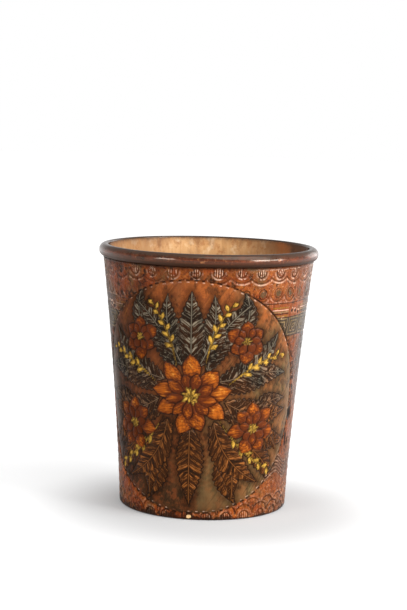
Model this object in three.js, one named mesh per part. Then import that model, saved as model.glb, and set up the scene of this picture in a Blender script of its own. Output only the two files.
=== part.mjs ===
// A turned wooden beaker: a tapered wall, a round bottom let into its foot and a bead ring round its mouth.
// Millimetres, +Z up. The foot stands on z = 0 and the beaker's axis is the Z axis.
import * as THREE from "three";

// Outside of the beaker
const height = 120; // from the foot to the crest of the bead ring
const footRadius = 38.4; // outside of the wall at the foot
const neckRadius = 48.3; // outside of the wall just under the bead ring
const wallHollow = 0.95; // how far the outline runs inside a straight taper at mid height
const footRounding = 1.2; // radius of the softened edge round the foot

// Wall and bottom
const wallThickness = 4;
const baseThickness = 6;
const rebateWidth = 1.3; // step that the bottom bears on, cut into the inside of the wall's foot

// Bead ring and the spigot that it sits round
const beadRadius = 2.9; // radius of the bead's round section
const beadOverhang = 2.05; // how far the bead stands out past the neck
const spigotThickness = 1.8; // wall left standing inside the bead ring, at the shoulder
const spigotSetback = 0.6; // the spigot's end below the bead's crest
const shoulderEase = 0.3; // narrow step between the neck's edge and the bead's seat
const mouthEase = 0.5; // softened edges of the spigot's end

// Turned groove in the wall under the bead ring
const grooveWidth = 0.8;
const grooveDepth = 0.35;
const grooveDrop = 0.9; // from the shoulder down to the groove's upper edge

const fitClearance = 0.3; // glue gap round the bottom, and between the spigot and the ring

// Facets
const turnSegments = 72;
const wallSteps = 9; // straight stretches along the tapered wall
const beadSteps = 6; // straight stretches round a quarter of the bead
const crestSteps = 2; // straight stretches from the bead's crest in to its bore
const edgeSteps = 3; // straight stretches round the foot's edge

// The bead's section is a circle, and its flat seat lies where that circle meets the shoulder.
const beadCentreRadius = neckRadius + beadOverhang - beadRadius;
const beadCentreHeight = height - beadRadius;
const seatRadius = neckRadius - shoulderEase;
const seatReach = seatRadius - beadCentreRadius;
const shoulderHeight = beadCentreHeight - Math.sqrt(beadRadius ** 2 - seatReach ** 2);

// Outside radius of the wall: a straight taper from foot to shoulder, hollowed along a parabola.
function outerRadius(z) {
  const t = z / shoulderHeight;
  return footRadius + (neckRadius - footRadius) * t - 4 * wallHollow * t * (1 - t);
}

function innerRadius(z) {
  return outerRadius(z) - wallThickness;
}

const rebateRadius = innerRadius(baseThickness) + rebateWidth;
const spigotRadius = innerRadius(shoulderHeight) + spigotThickness;
const spigotHeight = height - spigotSetback;
const ringBore = spigotRadius + fitClearance;

function point(radius, z) {
  return new THREE.Vector2(radius, z);
}

// Points of an arc in the section plane, both ends included. Angles are in radians from straight outward.
function arc(centreRadius, centreHeight, radius, startAngle, endAngle, steps) {
  const points = [];
  for (let i = 0; i <= steps; i += 1) {
    const angle = startAngle + ((endAngle - startAngle) * i) / steps;
    points.push(point(centreRadius + radius * Math.cos(angle), centreHeight + radius * Math.sin(angle)));
  }
  return points;
}

// Turns a section about the beaker's axis. The section runs up the outside.
function turned(name, section, material) {
  const geometry = new THREE.LatheGeometry(section, turnSegments);
  geometry.rotateX(Math.PI / 2);
  const mesh = new THREE.Mesh(geometry, material);
  mesh.name = name;
  return mesh;
}

function makeWall() {
  const grooveTop = shoulderHeight - grooveDrop;
  const grooveBottom = grooveTop - grooveWidth;
  const section = [point(rebateRadius, 0)];

  // Foot and outside
  const edgeCentre = outerRadius(footRounding) - footRounding;
  section.push(...arc(edgeCentre, footRounding, footRounding, -Math.PI / 2, 0, edgeSteps));
  for (let i = 1; i <= wallSteps; i += 1) {
    const z = footRounding + ((grooveBottom - footRounding) * i) / wallSteps;
    section.push(point(outerRadius(z), z));
  }

  // Groove, shoulder and spigot
  const grooveMiddle = (grooveTop + grooveBottom) / 2;
  section.push(point(outerRadius(grooveMiddle) - grooveDepth, grooveMiddle));
  section.push(point(outerRadius(grooveTop), grooveTop));
  section.push(point(neckRadius, shoulderHeight));
  section.push(point(spigotRadius, shoulderHeight));
  section.push(point(spigotRadius, spigotHeight - mouthEase));
  section.push(point(spigotRadius - mouthEase, spigotHeight));
  section.push(point(innerRadius(spigotHeight) + mouthEase / 2, spigotHeight));
  section.push(point(innerRadius(spigotHeight - mouthEase), spigotHeight - mouthEase));

  // Inside, down to the rebate for the bottom
  for (let i = 0; i <= wallSteps; i += 1) {
    const z = shoulderHeight + ((baseThickness - shoulderHeight) * i) / wallSteps;
    section.push(point(innerRadius(z), z));
  }
  section.push(point(rebateRadius, baseThickness));
  section.push(section[0].clone());

  const material = new THREE.MeshStandardMaterial({ color: 0x9a4a26, roughness: 0.4, metalness: 0 });
  return turned("wall", section, material);
}

function makeBaseDisc() {
  const discRadius = rebateRadius - fitClearance;
  const section = [point(0, 0), point(discRadius, 0), point(discRadius, baseThickness), point(0, baseThickness)];
  const material = new THREE.MeshStandardMaterial({ color: 0xc79a63, roughness: 0.75, metalness: 0 });
  return turned("base_disc", section, material);
}

function makeRimRing() {
  const boreReach = beadCentreRadius - ringBore;
  const crestAngle = Math.PI / 2;
  const boreAngle = Math.PI - Math.acos(boreReach / beadRadius);
  const seatAngle = -Math.acos(seatReach / beadRadius);
  const section = [point(ringBore, shoulderHeight)];
  section.push(...arc(beadCentreRadius, beadCentreHeight, beadRadius, seatAngle, 0, beadSteps));
  section.push(...arc(beadCentreRadius, beadCentreHeight, beadRadius, 0, crestAngle, beadSteps).slice(1));
  section.push(...arc(beadCentreRadius, beadCentreHeight, beadRadius, crestAngle, boreAngle, crestSteps).slice(1));
  section.push(section[0].clone());
  const material = new THREE.MeshStandardMaterial({ color: 0x3c1d15, roughness: 0.35, metalness: 0 });
  return turned("rim_ring", section, material);
}

const beaker = new THREE.Group();
beaker.add(makeWall());
beaker.add(makeBaseDisc());
beaker.add(makeRimRing());

export default beaker;
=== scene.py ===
# A turned wooden beaker with a burnt, tooled and varnished wall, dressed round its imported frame.
# Ornament sizes are in millimetres on the developed wall, angles in degrees from the front, to the right.
import math
from functools import partial, reduce

import bpy
import numpy as np
from mathutils import Matrix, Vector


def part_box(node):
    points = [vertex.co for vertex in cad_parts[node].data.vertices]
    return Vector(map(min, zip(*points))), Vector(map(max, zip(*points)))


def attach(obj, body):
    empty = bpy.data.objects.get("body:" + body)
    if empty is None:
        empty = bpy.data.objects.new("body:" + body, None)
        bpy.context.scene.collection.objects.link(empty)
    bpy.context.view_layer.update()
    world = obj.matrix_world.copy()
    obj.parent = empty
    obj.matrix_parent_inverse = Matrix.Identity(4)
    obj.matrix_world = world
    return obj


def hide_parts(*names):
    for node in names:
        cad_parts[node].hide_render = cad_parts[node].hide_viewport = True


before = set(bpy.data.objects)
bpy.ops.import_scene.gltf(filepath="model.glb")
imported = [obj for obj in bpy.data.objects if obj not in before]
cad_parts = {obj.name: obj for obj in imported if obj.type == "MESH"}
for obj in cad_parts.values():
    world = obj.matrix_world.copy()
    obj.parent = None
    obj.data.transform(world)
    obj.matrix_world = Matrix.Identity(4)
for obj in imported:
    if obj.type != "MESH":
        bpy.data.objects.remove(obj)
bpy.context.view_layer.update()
mm = 0.001
fullTurn = 2 * math.pi
farOff = 9.0  # a distance that is out of reach of every mark, in mm


def linear(hexColour):
    # sRGB hex to linear light, by the power curve with its straight toe
    parts = [int(hexColour[i:i + 2], 16) / 255 for i in (1, 3, 5)]
    return tuple(c / 12.92 if c <= 0.04045 else ((c + 0.055) / 1.055) ** 2.4 for c in parts) + (1.0,)


def addNode(tree, kind, *inputs, named=None, **settings):
    # Adds one shader node, sets its settings, then links or fills its sockets in use: in order, and by name.
    # A kind may carry the node's operation after a dot.
    kind, _, operation = kind.partition(".")
    node = tree.nodes.new("ShaderNode" + kind)
    if operation:
        node.operation = operation
    for name, value in settings.items():
        setattr(node, name, value)
    pairs = list(zip([socket for socket in node.inputs if socket.enabled], inputs))
    pairs += [(node.inputs[name], value) for name, value in (named or {}).items()]
    for socket, value in pairs:
        if isinstance(value, bpy.types.NodeSocket):
            tree.links.new(value, socket)
        elif value is not None:
            socket.default_value = value
    results = [socket for socket in node.outputs if socket.enabled]
    return results[0] if results else node


def productOf(add, *terms):
    # The terms multiplied in order. A term in brackets is a range: a value, the two ends that it runs
    # between, and what they turn into, which is 0 and 1 where it isn't given.
    values = [add("MapRange", *term) if isinstance(term, tuple) else term for term in terms]
    return reduce(partial(add, "Math.MULTIPLY"), values)


def layersOf(add, paint, colour, *layers):
    # Covers a colour with others in order, each by its share: colour * (1 - share) + cover * share. A share
    # may be a range, and a colour may go by its name in the paint.
    colour = paint.get(colour, colour)
    for share, cover in layers:
        share = productOf(add, share)
        colour = add("Mix", share, colour, paint.get(cover, cover), data_type="RGBA")
    return colour


def newMaterial(name, colours=None):
    # An empty material, with the functions that add nodes, products and layers of its colours to it
    material = bpy.data.materials.new(name)
    material.use_nodes = True
    material.node_tree.nodes.clear()
    add = partial(addNode, material.node_tree)
    paint = {label: linear(colour) for label, colour in (colours or {}).items()}
    return material, add, partial(productOf, add), partial(layersOf, add, paint)


# Camera

cameraFit = {
    "distance": 810.25,  # in front of the axis, in mm
    "height": 192.56,
    "pitch": -7.071,
    "yaw": -0.126,
    "roll": 1.572,
    "focalPixels": 1772.1,
    "longSidePixels": 610,
    "sensor": 36,
}


def placeCamera(fit):
    # The lens is the focal length in pixels over the picture's longer side, times the sensor. A camera that
    # looks straight down is leant by its roll, tipped up to its pitch, turned by its yaw and put in its place.
    lens = bpy.data.cameras.new("photoView")
    lens.sensor_width = fit["sensor"]
    lens.lens = fit["focalPixels"] / fit["longSidePixels"] * fit["sensor"]
    camera = bpy.data.objects.new("photoView", lens)
    turn = Matrix.Rotation(math.radians(-fit["yaw"]), 4, "Z")
    tip = Matrix.Rotation(math.radians(90 + fit["pitch"]), 4, "X")
    lean = Matrix.Rotation(math.radians(fit["roll"]), 4, "Z")
    place = Matrix.Translation((0, -fit["distance"] * mm, fit["height"] * mm))
    camera.matrix_world = place @ turn @ tip @ lean
    bpy.context.scene.collection.objects.link(camera)
    bpy.context.scene.camera = camera


# Light, floor and white surroundings, in metres

studio = {
    "surround": 0.33,  # strength of the white room as a light; it shows as pure white up to the ceiling
    "ceiling": 0.25,  # how bright the ceiling shows
    "lampDistance": 1.0,
    "lampAim": 0.06,  # height of the point that the lamps look at
    "floorColour": "#bebebe",
    "floorRadius": 4.0,
    # Light added to the floor for the camera and for reflections, so that the open floor reads white: stages
    # that ease between two distances, from a point a little right of the foot's middle and in front of it
    "liftMiddle": (0.0075, -0.017, 0.0),
    "lift": ((0.038, 0.1, 0.19, 0.65), (0.1, 0.3, 0.0, 0.07), (0.3, 1.2, 0.0, 0.2)),
}

# Softboxes: degrees round to the right and up, width and height in m
lamps = {
    "keySoftbox": {"watts": 6.8, "turn": 56, "rise": 17, "width": 0.32, "height": 0.34},
    "sideSoftbox": {"watts": 2.4, "turn": 75, "rise": 17, "width": 0.26, "height": 0.24},
    "fillSoftbox": {"watts": 3.2, "turn": -45, "rise": 15, "width": 0.34, "height": 0.26},
    "edgeSoftbox": {"watts": 1.0, "turn": 140, "rise": 12, "width": 0.5, "height": 0.4},
    "overheadSoftbox": {"watts": 6.5, "turn": 46, "rise": 58, "width": 0.9, "height": 0.9},
}


def placeLamp(name, shape):
    # A rectangle that the camera doesn't see. Straight over its aim at first, it is tipped down to its rise
    # and spun about the upright axis by its turn.
    lamp = bpy.data.lights.new(name, "AREA")
    lamp.energy = shape["watts"]
    lamp.shape = "RECTANGLE"
    lamp.size = shape["width"]
    lamp.size_y = shape["height"]
    holder = bpy.data.objects.new(name, lamp)
    spin = Matrix.Rotation(math.radians(shape["turn"]), 4, "Z")
    tip = Matrix.Rotation(math.radians(90 - shape["rise"]), 4, "X")
    away = Matrix.Translation((0, 0, studio["lampDistance"]))
    holder.matrix_world = Matrix.Translation((0, 0, studio["lampAim"])) @ spin @ tip @ away
    holder.visible_camera = False
    bpy.context.scene.collection.objects.link(holder)


def seenDirectly(add):
    # 1 for a ray from the camera, from a mirror or through glass, and 0 for one that lights a rough surface
    rays = add("LightPath").node.outputs
    seen = add("Math.MAXIMUM", rays["Is Camera Ray"], rays["Is Glossy Ray"])
    return add("Math.MAXIMUM", seen, rays["Is Transmission Ray"])


def makeSurround():
    # A white room. Its brightness is (shown - strength) * seen + strength, where shown falls from 1 to the
    # ceiling's brightness as the ray rises.
    strength = studio["surround"]
    world = bpy.data.worlds.new("whiteRoom")
    bpy.context.scene.world = world
    world.use_nodes = True
    tree = world.node_tree
    tree.nodes.clear()
    add = partial(addNode, tree)
    rise = add("SeparateXYZ", add("TexCoord").node.outputs["Generated"]).node.outputs["Z"]
    shown = add("MapRange", rise, 0.08, 0.35, 1.0, studio["ceiling"])
    level = add("Math.SUBTRACT", shown, strength)
    level = add("Math.MULTIPLY_ADD", level, seenDirectly(add), strength)
    add("OutputWorld", add("Background", (1, 1, 1, 1), level))


def makeFloor():
    # A flat disc just under the foot. Its lift is the sum of the stages, low round the foot, where the soft
    # shadow lies.
    edge = np.linspace(0, fullTurn, 96, endpoint=False)
    places = np.stack([np.cos(edge), np.sin(edge), np.zeros_like(edge)], -1) * studio["floorRadius"]
    places[:, 2] = -0.05 * mm
    mesh = bpy.data.meshes.new("floor")
    mesh.from_pydata(places.tolist(), [], [list(range(len(edge)))])
    floor = bpy.data.objects.new("floor", mesh)
    bpy.context.scene.collection.objects.link(floor)
    material, add, product, _ = newMaterial("paperSweep")
    matt = add("BsdfDiffuse", linear(studio["floorColour"]))
    away = add("TexCoord").node.outputs["Object"]
    away = add("VectorMath.DISTANCE", away, studio["liftMiddle"])
    lift = 0.0
    for stage in studio["lift"]:
        step = add("MapRange", away, *stage, interpolation_type="SMOOTHSTEP")
        lift = add("Math.ADD", step, lift)
    lift = product(seenDirectly(add), lift)
    add("OutputMaterial", add("AddShader", matt, add("Emission", (1, 1, 1, 1), lift)))
    mesh.materials.append(material)


# Meshes

def gridPiece(name, radius, angle, height, closed):
    # Point (row, column) is at radius * (sin angle, -cos angle), height. Columns close round the axis.
    # Rows close on themselves where closed is True, and otherwise each end row is one flat face.
    rows, columns = radius.shape
    places = np.stack([radius * np.sin(angle), -radius * np.cos(angle), height], -1) * mm
    index = np.arange(rows * columns).reshape(rows, columns)
    across = np.roll(index, -1, axis=1)
    above = np.roll(index, -1, axis=0)
    corner = np.roll(across, -1, axis=0)
    quads = np.stack([index, across, corner, above], -1)
    if not closed:
        quads = quads[:-1]
    faces = quads.reshape(-1, 4).tolist()
    if not closed:
        faces.append(index[0, ::-1].tolist())
        faces.append(index[-1].tolist())
    mesh = bpy.data.meshes.new(name)
    mesh.from_pydata(places.reshape(-1, 3), [], faces)
    mesh.shade_smooth()
    piece = bpy.data.objects.new(name, mesh)
    bpy.context.scene.collection.objects.link(piece)
    return piece


def storeVectors(piece, name, *parts):
    # Keeps three numbers at every point of the mesh under one name, for the materials
    data = np.stack([part.ravel() for part in parts], -1).astype(np.float32)
    layer = piece.data.attributes.new(name, "FLOAT_VECTOR", "POINT")
    layer.data.foreach_set("vector", data.ravel())


def arcPoints(centreRadius, centreHeight, size, start, end, count):
    # Section points on a circle, from start to end in degrees, both included
    turn = np.radians(np.linspace(start, end, count))
    return centreRadius + size * np.cos(turn), centreHeight + size * np.sin(turn)


def crowded(count, crowding):
    # Shares of a closed turn, closest together at 0, by t - crowding * sin(2 pi t) / (2 pi)
    t = np.arange(count) / count
    return t - crowding * np.sin(fullTurn * t) / fullTurn


def ripple(angle, height, seed, count, turns, pitch):
    # Smooth irregularity: the mean of count sine waves round and up the wall, with seeded phases
    rng = np.random.default_rng(seed)
    total = np.zeros(np.broadcast(angle, height).shape)
    for _ in range(count):
        around = rng.integers(-turns, turns + 1)
        up = fullTurn / pitch * rng.uniform(-1, 1)
        total += np.sin(around * angle + up * height + rng.uniform(0, fullTurn))
    return total / math.sqrt(count)


def eased(value):
    # 0 below 0, 1 above 1, and a smooth S between
    t = np.clip(value, 0, 1)
    return t * t * (3 - 2 * t)


# Sizes of the turned pieces, taken from the frame where it gives them

wallHigh = np.array(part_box("wall")[1]) / mm
ringLow = np.array(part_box("rim_ring")[0]) / mm
ringHigh = np.array(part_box("rim_ring")[1]) / mm
discHigh = np.array(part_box("base_disc")[1]) / mm

turning = {
    "footRadius": 38.4,
    "neckRadius": wallHigh[0],
    "shoulder": ringLow[2],
    "hollow": 0.95,
    "thickness": 4.0,
    "footRounding": 1.2,
    "discRadius": discHigh[0],
    "baseThickness": discHigh[2],
    "glueGap": 0.06,
    "seatGap": 0.05,  # between the shoulder and the bead's seat
    "discGap": 0.02,  # between the rebate's step and the bottom
    "beadRadius": 2.9,
    "spigotRadius": 46.1,
    "mouthEase": 0.5,  # the spigot's softened end
    "spigotTop": wallHigh[2],
    "crest": ringHigh[2],
    "ringRadius": ringHigh[0],
    "grooveDrop": 0.9,
    "grooveWidth": 0.8,
    "grooveDepth": 0.35,
    "columns": 424,
    "crowding": 0.5,  # how much closer the columns lie at the front
    "rows": (24, 106, 68),  # from the foot's rounding to the stops and then to the groove
    "stops": (12, 81),
}


def outerRadius(height):
    # A straight taper from the foot to the shoulder, less 4 * hollow * t * (1 - t), t being the way up
    t = height / turning["shoulder"]
    straight = turning["footRadius"] + (turning["neckRadius"] - turning["footRadius"]) * t
    return straight - 4 * turning["hollow"] * t * (1 - t)


# Round panel on the front, drawn on the developed wall

panel = {
    "turn": -8.7,  # where its middle lies
    "height": 55.6,
    "radius": 52.55,  # from its middle straight up
    "stretch": 1.06,  # how many times wider than high it is
    "cutDown": 0.22,  # how far its ground is cut below the wall
    "groove": 0.4,
    "grooveWidth": 0.9,
}

toothPitch = 2.5  # from one tooth of a leaf to the next
sprigDabs = 9
sprayLeaves = (  # root, aim in degrees from straight right, length, half width and bend, for the right half
    ((15, -24), -78, 25, 4.6, -3),
    ((22, -20), -52, 27, 4.8, 3),
    ((27, -14), -18, 22, 4.6, -3),
    ((26, -10), 22, 22, 4.4, 3),
    ((20, 28), 82, 20, 4.4, -3),
    ((8, -12), -74, 36, 5.6, 4),
    ((10, -10), -54, 36, 6.0, -5),
    ((12, -6), -34, 36, 6.2, 5),
    ((14, -1), -10, 34, 6.2, -4),
    ((14, 3), 12, 33, 6.0, 4),
    ((11, 8), 36, 36, 6.2, -5),
    ((7, 12), 58, 36, 6.0, 4),
    ((3, 14), 78, 33, 5.4, -3),
    ((0, -12), -90, 37, 5.6, 0),
    ((0, 14), 90, 34, 5.6, 0),
)
spraySprigs = (  # root, aim, length and bend
    ((14, 5), 24, 34, 3.0),
    ((6, 12), 68, 34, 2.5),
    ((12, -9), -44, 37, -3.0),
)
sprayBlooms = (  # middle, size, petals and seed
    ((28, -14), 11.5, 7, 5),
    ((24, 26), 9.5, 6, 6),
    ((0, 1), 17.5, 9, 7),
)


def panelPlace(angle, height):
    # Sideways distance over the stretch, and upward distance, from the panel's middle along the surface
    right = outerRadius(height) * (angle - math.radians(panel["turn"])) / panel["stretch"]
    return right, height - panel["height"]


def newPainting(shape):
    # Nothing painted yet: no leaf, petal or gold anywhere, and every edge out of reach
    blank = {name: np.zeros(shape) for name in ("along", "across", "leaf", "petal", "gold", "rise")}
    blank["edge"] = np.full(shape, farOff)
    return blank


def paintBlade(painting, place, kind, root, aim, length, halfWidth, bend=0.0, fullness=1.0, dome=0.15,
               teeth=0.0):
    # One leaf or petal over what is there. Its half width is halfWidth * sin(pi * share ** fullness), share
    # being the way along its midrib, which bows sideways by bend * 4 * share * (1 - share). Teeth widen it
    # by their share of the width, in arches along the edge.
    right, up = place[0] - root[0], place[1] - root[1]
    aimed = math.radians(aim)
    along = right * math.cos(aimed) + up * math.sin(aimed)
    across = up * math.cos(aimed) - right * math.sin(aimed)
    share = np.clip(along / length, 1e-4, 1)
    across = across - bend * 4 * share * (1 - share)
    half = halfWidth * np.sin(math.pi * share ** fullness)
    half = half * (1 + teeth * (np.abs(np.sin(math.pi * along / toothPitch)) - 0.6))
    slope = halfWidth * np.cos(math.pi * share ** fullness)
    slope = slope * math.pi * fullness * share ** (fullness - 1) / length
    past = np.maximum(np.maximum(-along, along - length), 0)
    beside = (np.abs(across) - half) / np.sqrt(1 + slope ** 2)
    distance = np.where(past > 0, np.hypot(past, np.maximum(beside, 0)), beside)
    inside = distance < 0
    under = painting["edge"]
    apart = np.where(under < 0, np.maximum(under, -distance), np.minimum(under, distance))
    painting["edge"] = np.where(inside, distance, apart)
    laid = {name: float(name == kind) for name in ("leaf", "petal", "gold")}
    laid.update(along=along, across=across, rise=dome * (1 - (across / np.maximum(half, 0.1)) ** 2))
    for name, value in laid.items():
        painting[name] = np.where(inside, value, painting[name])


def paintSprig(painting, place, root, aim, length, bend):
    # A thin gold stem with slanting dabs on both sides, like an ear of grass
    side = 1 if aim < 90 else -1
    paintBlade(painting, place, "gold", root, aim, length, 0.45, side * bend, dome=0.08)
    aimed = math.radians(aim)
    for i in range(sprigDabs):
        share = 0.3 + 0.7 * i / sprigDabs
        bow = side * bend * 4 * share * (1 - share)
        middle = (root[0] + length * share * math.cos(aimed) - bow * math.sin(aimed),
                  root[1] + length * share * math.sin(aimed) + bow * math.cos(aimed))
        lean = side * (38 if i % 2 else -38)
        paintBlade(painting, place, "gold", middle, aim + lean, 4.6 - 1.4 * share, 0.95, dome=0.12)


def paintBloom(painting, place, middle, size, petals, seed):
    # Two rings of petals round a button of short stamens, each petal a little off its place and size
    rng = np.random.default_rng(seed)
    side = -1 if middle[0] < 0 else 1
    for ring, reach in ((0, 1.0), (1, 0.64)):
        for i in range(petals):
            off = rng.uniform(-1, 1, 4)
            aim = 90 + side * (360 * (i + 0.5 * ring) / petals + 5 * off[0])
            length = size * reach * (1 + 0.1 * off[1])
            half = size * reach * 2.0 / petals * (1 + 0.12 * off[2])
            paintBlade(painting, place, "petal", middle, aim, length, half, side * 0.06 * size * off[3],
                       fullness=1.6, dome=0.25)
    for i in range(petals + 2):
        aim = 90 + side * 360 * (i + 0.25 * rng.uniform(-1, 1)) / (petals + 2)
        length = size * rng.uniform(0.18, 0.27)
        paintBlade(painting, place, "gold", middle, aim, length, size * 0.045, dome=0.1)


def paintSpray(painting, place):
    # A generic spray, the same on both sides: dark toothed leaves, gold sprigs and three sizes of bloom
    for root, aim, length, half, bend in sprayLeaves:
        for side in (1, -1):
            aimed = aim if side > 0 else 180 - aim
            paintBlade(painting, place, "leaf", (side * root[0], root[1]), aimed, length, half, side * bend,
                       fullness=0.8, dome=0.3, teeth=0.22)
    for root, aim, length, bend in spraySprigs:
        for side in (1, -1):
            aimed = aim if side > 0 else 180 - aim
            paintSprig(painting, place, (side * root[0], root[1]), aimed, length, bend)
    for middle, size, petals, seed in sprayBlooms:
        for side in (1, -1) if middle[0] else (1,):
            paintBloom(painting, place, (side * middle[0], middle[1]), size, petals, seed)


# Repeated tooled rows: rings centred every full turn / repeats, one of them at "turn"

ringRows = {
    "pendant": {"repeats": 30, "turn": 29.6, "height": 111.75, "radius": 2.45,
                "low": 0, "high": 112.2, "ridge": 0.9, "dark": 0.85},
    "swag": {"repeats": 30, "turn": 29.6, "height": 114.5, "radius": 7.6,
             "low": 0, "high": 112.2, "ridge": 0.65, "dark": 0.7},
    "cup": {"repeats": 36, "turn": 31.5, "height": 102.4, "radius": 3.9,
            "low": 0, "high": 101.8, "ridge": 0.35, "dark": 0.55},
    "footArch": {"repeats": 27, "turn": 29.6, "height": 1.8, "radius": 2.5,
                 "low": 0, "high": 60, "ridge": 0.2, "dark": 0.95},
    "footSwag": {"repeats": 27, "turn": 29.6, "height": 2.6, "radius": 4.5,
                 "low": 2.6, "high": 60, "ridge": 0.2, "dark": 0.9},
    "footCrest": {"repeats": 27, "turn": 36.3, "height": 5.4, "radius": 4.5,
                  "low": 5.6, "high": 60, "ridge": 0.2, "dark": 0.8},
}
eyes = {"repeats": 36, "turn": 31.5, "height": 102.3, "radius": 1.45, "ring": 0.6}

# Band of square spirals, its level lines, and beads over every second spiral

keyBand = {
    "repeats": 28,
    "turn": 58.5,
    "height": 86.8,
    "halfHeight": 4.0,
    "halfWidth": 4.4,
    "pitch": 1.5,  # from one painted line to the next
    "beads": ((-2.3, 94.0), (0.6, 93.7), (3.3, 92.7)),  # to the right of the spiral's middle, and height
    "beadRadius": 0.8,
    "cuts": (82.2, 91.0, 97.7),
    "strips": ((95.7, 0.45, "goldDark"), (94.6, 0.35, "rub"), (93.7, 0.45, "keyLine"), (92.9, 0.4, "char"),
               (91.8, 0.5, "goldDark")),  # height, width and colour of the lines over every other spiral
}

# Wavy band over the foot rows, and scattered pricks under it

waves = {"repeats": 15, "turn": 56.0, "height": 22.0, "swell": 1.9, "halfHeight": 4.7, "pitch": 1.5}
pricks = {"seed": 21, "count": 90, "low": 5.0, "high": 17.5, "radius": 0.45}

# How deep each tool cuts, in mm, and how high the ridge beside a ring stands

depths = {"ring": 0.26, "ringRidge": 0.16, "eyeRing": 0.2, "eye": 0.08, "levelLine": 0.2, "keyGround": 0.12,
          "bead": 0.12, "prick": 0.2, "wave": 0.08, "blade": 0.2, "tremble": 0.08, "allOver": 0.12}

# Marks of age and of a hot point that slipped, as wide and high either way as it says. "tone" is -1 where
# charred and 1 where bare wood shows; the gouge's dark tone is painted shade in its hollow.

marks = {
    # the gouge's dark tone is painted shade in its hollow
    "gouge": {"turn": 69.4, "height": 46.0, "wide": 2.1, "high": 3.6, "depth": 0.75, "tone": -1.6},
    "gougeLip": {"turn": 66.8, "height": 46.6, "wide": 0.8, "high": 3.4, "depth": -0.1, "tone": 0.7},
    "fluteA": {"turn": 66.4, "height": 34.0, "wide": 1.2, "high": 4.4, "depth": 0.4, "tone": -1.5},
    "fluteB": {"turn": 69.8, "height": 32.0, "wide": 1.0, "high": 3.8, "depth": 0.4, "tone": -1.5},
    "footChip": {"turn": -8.6, "height": 1.4, "wide": 1.6, "high": 1.2, "depth": 0.45, "tone": 1.2},
    "edgeRub": {"turn": -52.0, "height": 70.0, "wide": 0.6, "high": 5.0, "depth": 0.05, "tone": 0.4},
    "scratch": {"turn": 48.0, "height": 45.6, "wide": 2.6, "high": 0.5, "depth": 0.06, "tone": 0.5},
}


def ringDistance(row, angle, height):
    # Signed distance to the nearest ring of a row, and the sideways distance to its middle. Each ring is a
    # little off its place and size, by seeded amounts.
    pitch = fullTurn * outerRadius(row["height"]) / row["repeats"]
    cell = (angle - math.radians(row["turn"])) * row["repeats"] / fullTurn
    nearest = np.round(cell)
    slack = np.random.default_rng(int(10 * row["height"])).uniform(-1, 1, (3, row["repeats"]))
    aside, aloft, swollen = slack[:, nearest.astype(int) % row["repeats"]]
    across = (cell - nearest) * pitch - 0.35 * aside
    away = np.hypot(across, height - row["height"] - 0.3 * aloft)
    return away - row["radius"] * (1 + 0.07 * swollen), across


def keyCells(angle):
    # How many spirals along the band from the one at "turn", and how many mm one takes up
    pitch = fullTurn * outerRadius(keyBand["height"]) / keyBand["repeats"]
    return (angle - math.radians(keyBand["turn"])) * keyBand["repeats"] / fullTurn, pitch


def beadDistance(angle, height):
    # Signed distance to the nearest bead over every second spiral
    cell, pitch = keyCells(angle)
    across = (cell - 2 * np.round(cell / 2)) * pitch
    away = [np.hypot(across - right, height - level) for right, level in keyBand["beads"]]
    return np.minimum.reduce(away) - keyBand["beadRadius"]


def prickDistance(angle, height):
    # Signed distance to the nearest of many small pricks, at seeded places round the wall
    rng = np.random.default_rng(pricks["seed"])
    nearest = np.full(angle.shape, farOff)
    for _ in range(pricks["count"]):
        turn = rng.uniform(-math.pi, math.pi)
        level = rng.uniform(pricks["low"], pricks["high"])
        across = np.abs(angle - turn)
        across = np.minimum(across, fullTurn - across) * outerRadius(level)
        nearest = np.minimum(nearest, np.hypot(across, height - level) - pricks["radius"])
    return nearest


def keyLines(angle, height):
    # 1 on the painted lines of the square spirals and 0 between: rings of a square, whose upper half is
    # shifted sideways by half a pitch, so that they join into one line
    cell, pitch = keyCells(angle)
    across = (cell - np.round(cell)) * pitch
    up = height - keyBand["height"]
    across = across - np.where(up > 0, keyBand["pitch"] / 2, 0)
    ring = np.maximum(np.abs(across) * keyBand["halfHeight"] / keyBand["halfWidth"], np.abs(up))
    wave = 0.5 - 0.5 * np.cos(fullTurn * ring / keyBand["pitch"])
    return np.where(ring < keyBand["halfHeight"], wave, 0)


def handPressure(angle, height):
    # How hard the tools were pressed: 1 at most, lighter on the left and here and there
    return np.clip(0.72 + 0.28 * np.sin(angle) + 0.3 * ripple(angle, height, 12, 24, 9, 45), 0.2, 1)


def markShare(mark, angle, height):
    # 1 in the middle of an oval mark, easing to 0 at its edge
    right = outerRadius(mark["height"]) * (angle - math.radians(mark["turn"]))
    away = np.hypot(right / mark["wide"], (height - mark["height"]) / mark["high"])
    return eased(1.6 * (1 - away))


def groove(distance, width, depth):
    # A soft cut along distance 0, by depth * exp(-(distance / width) ** 2)
    return depth * np.exp(-(distance / width) ** 2)


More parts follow.
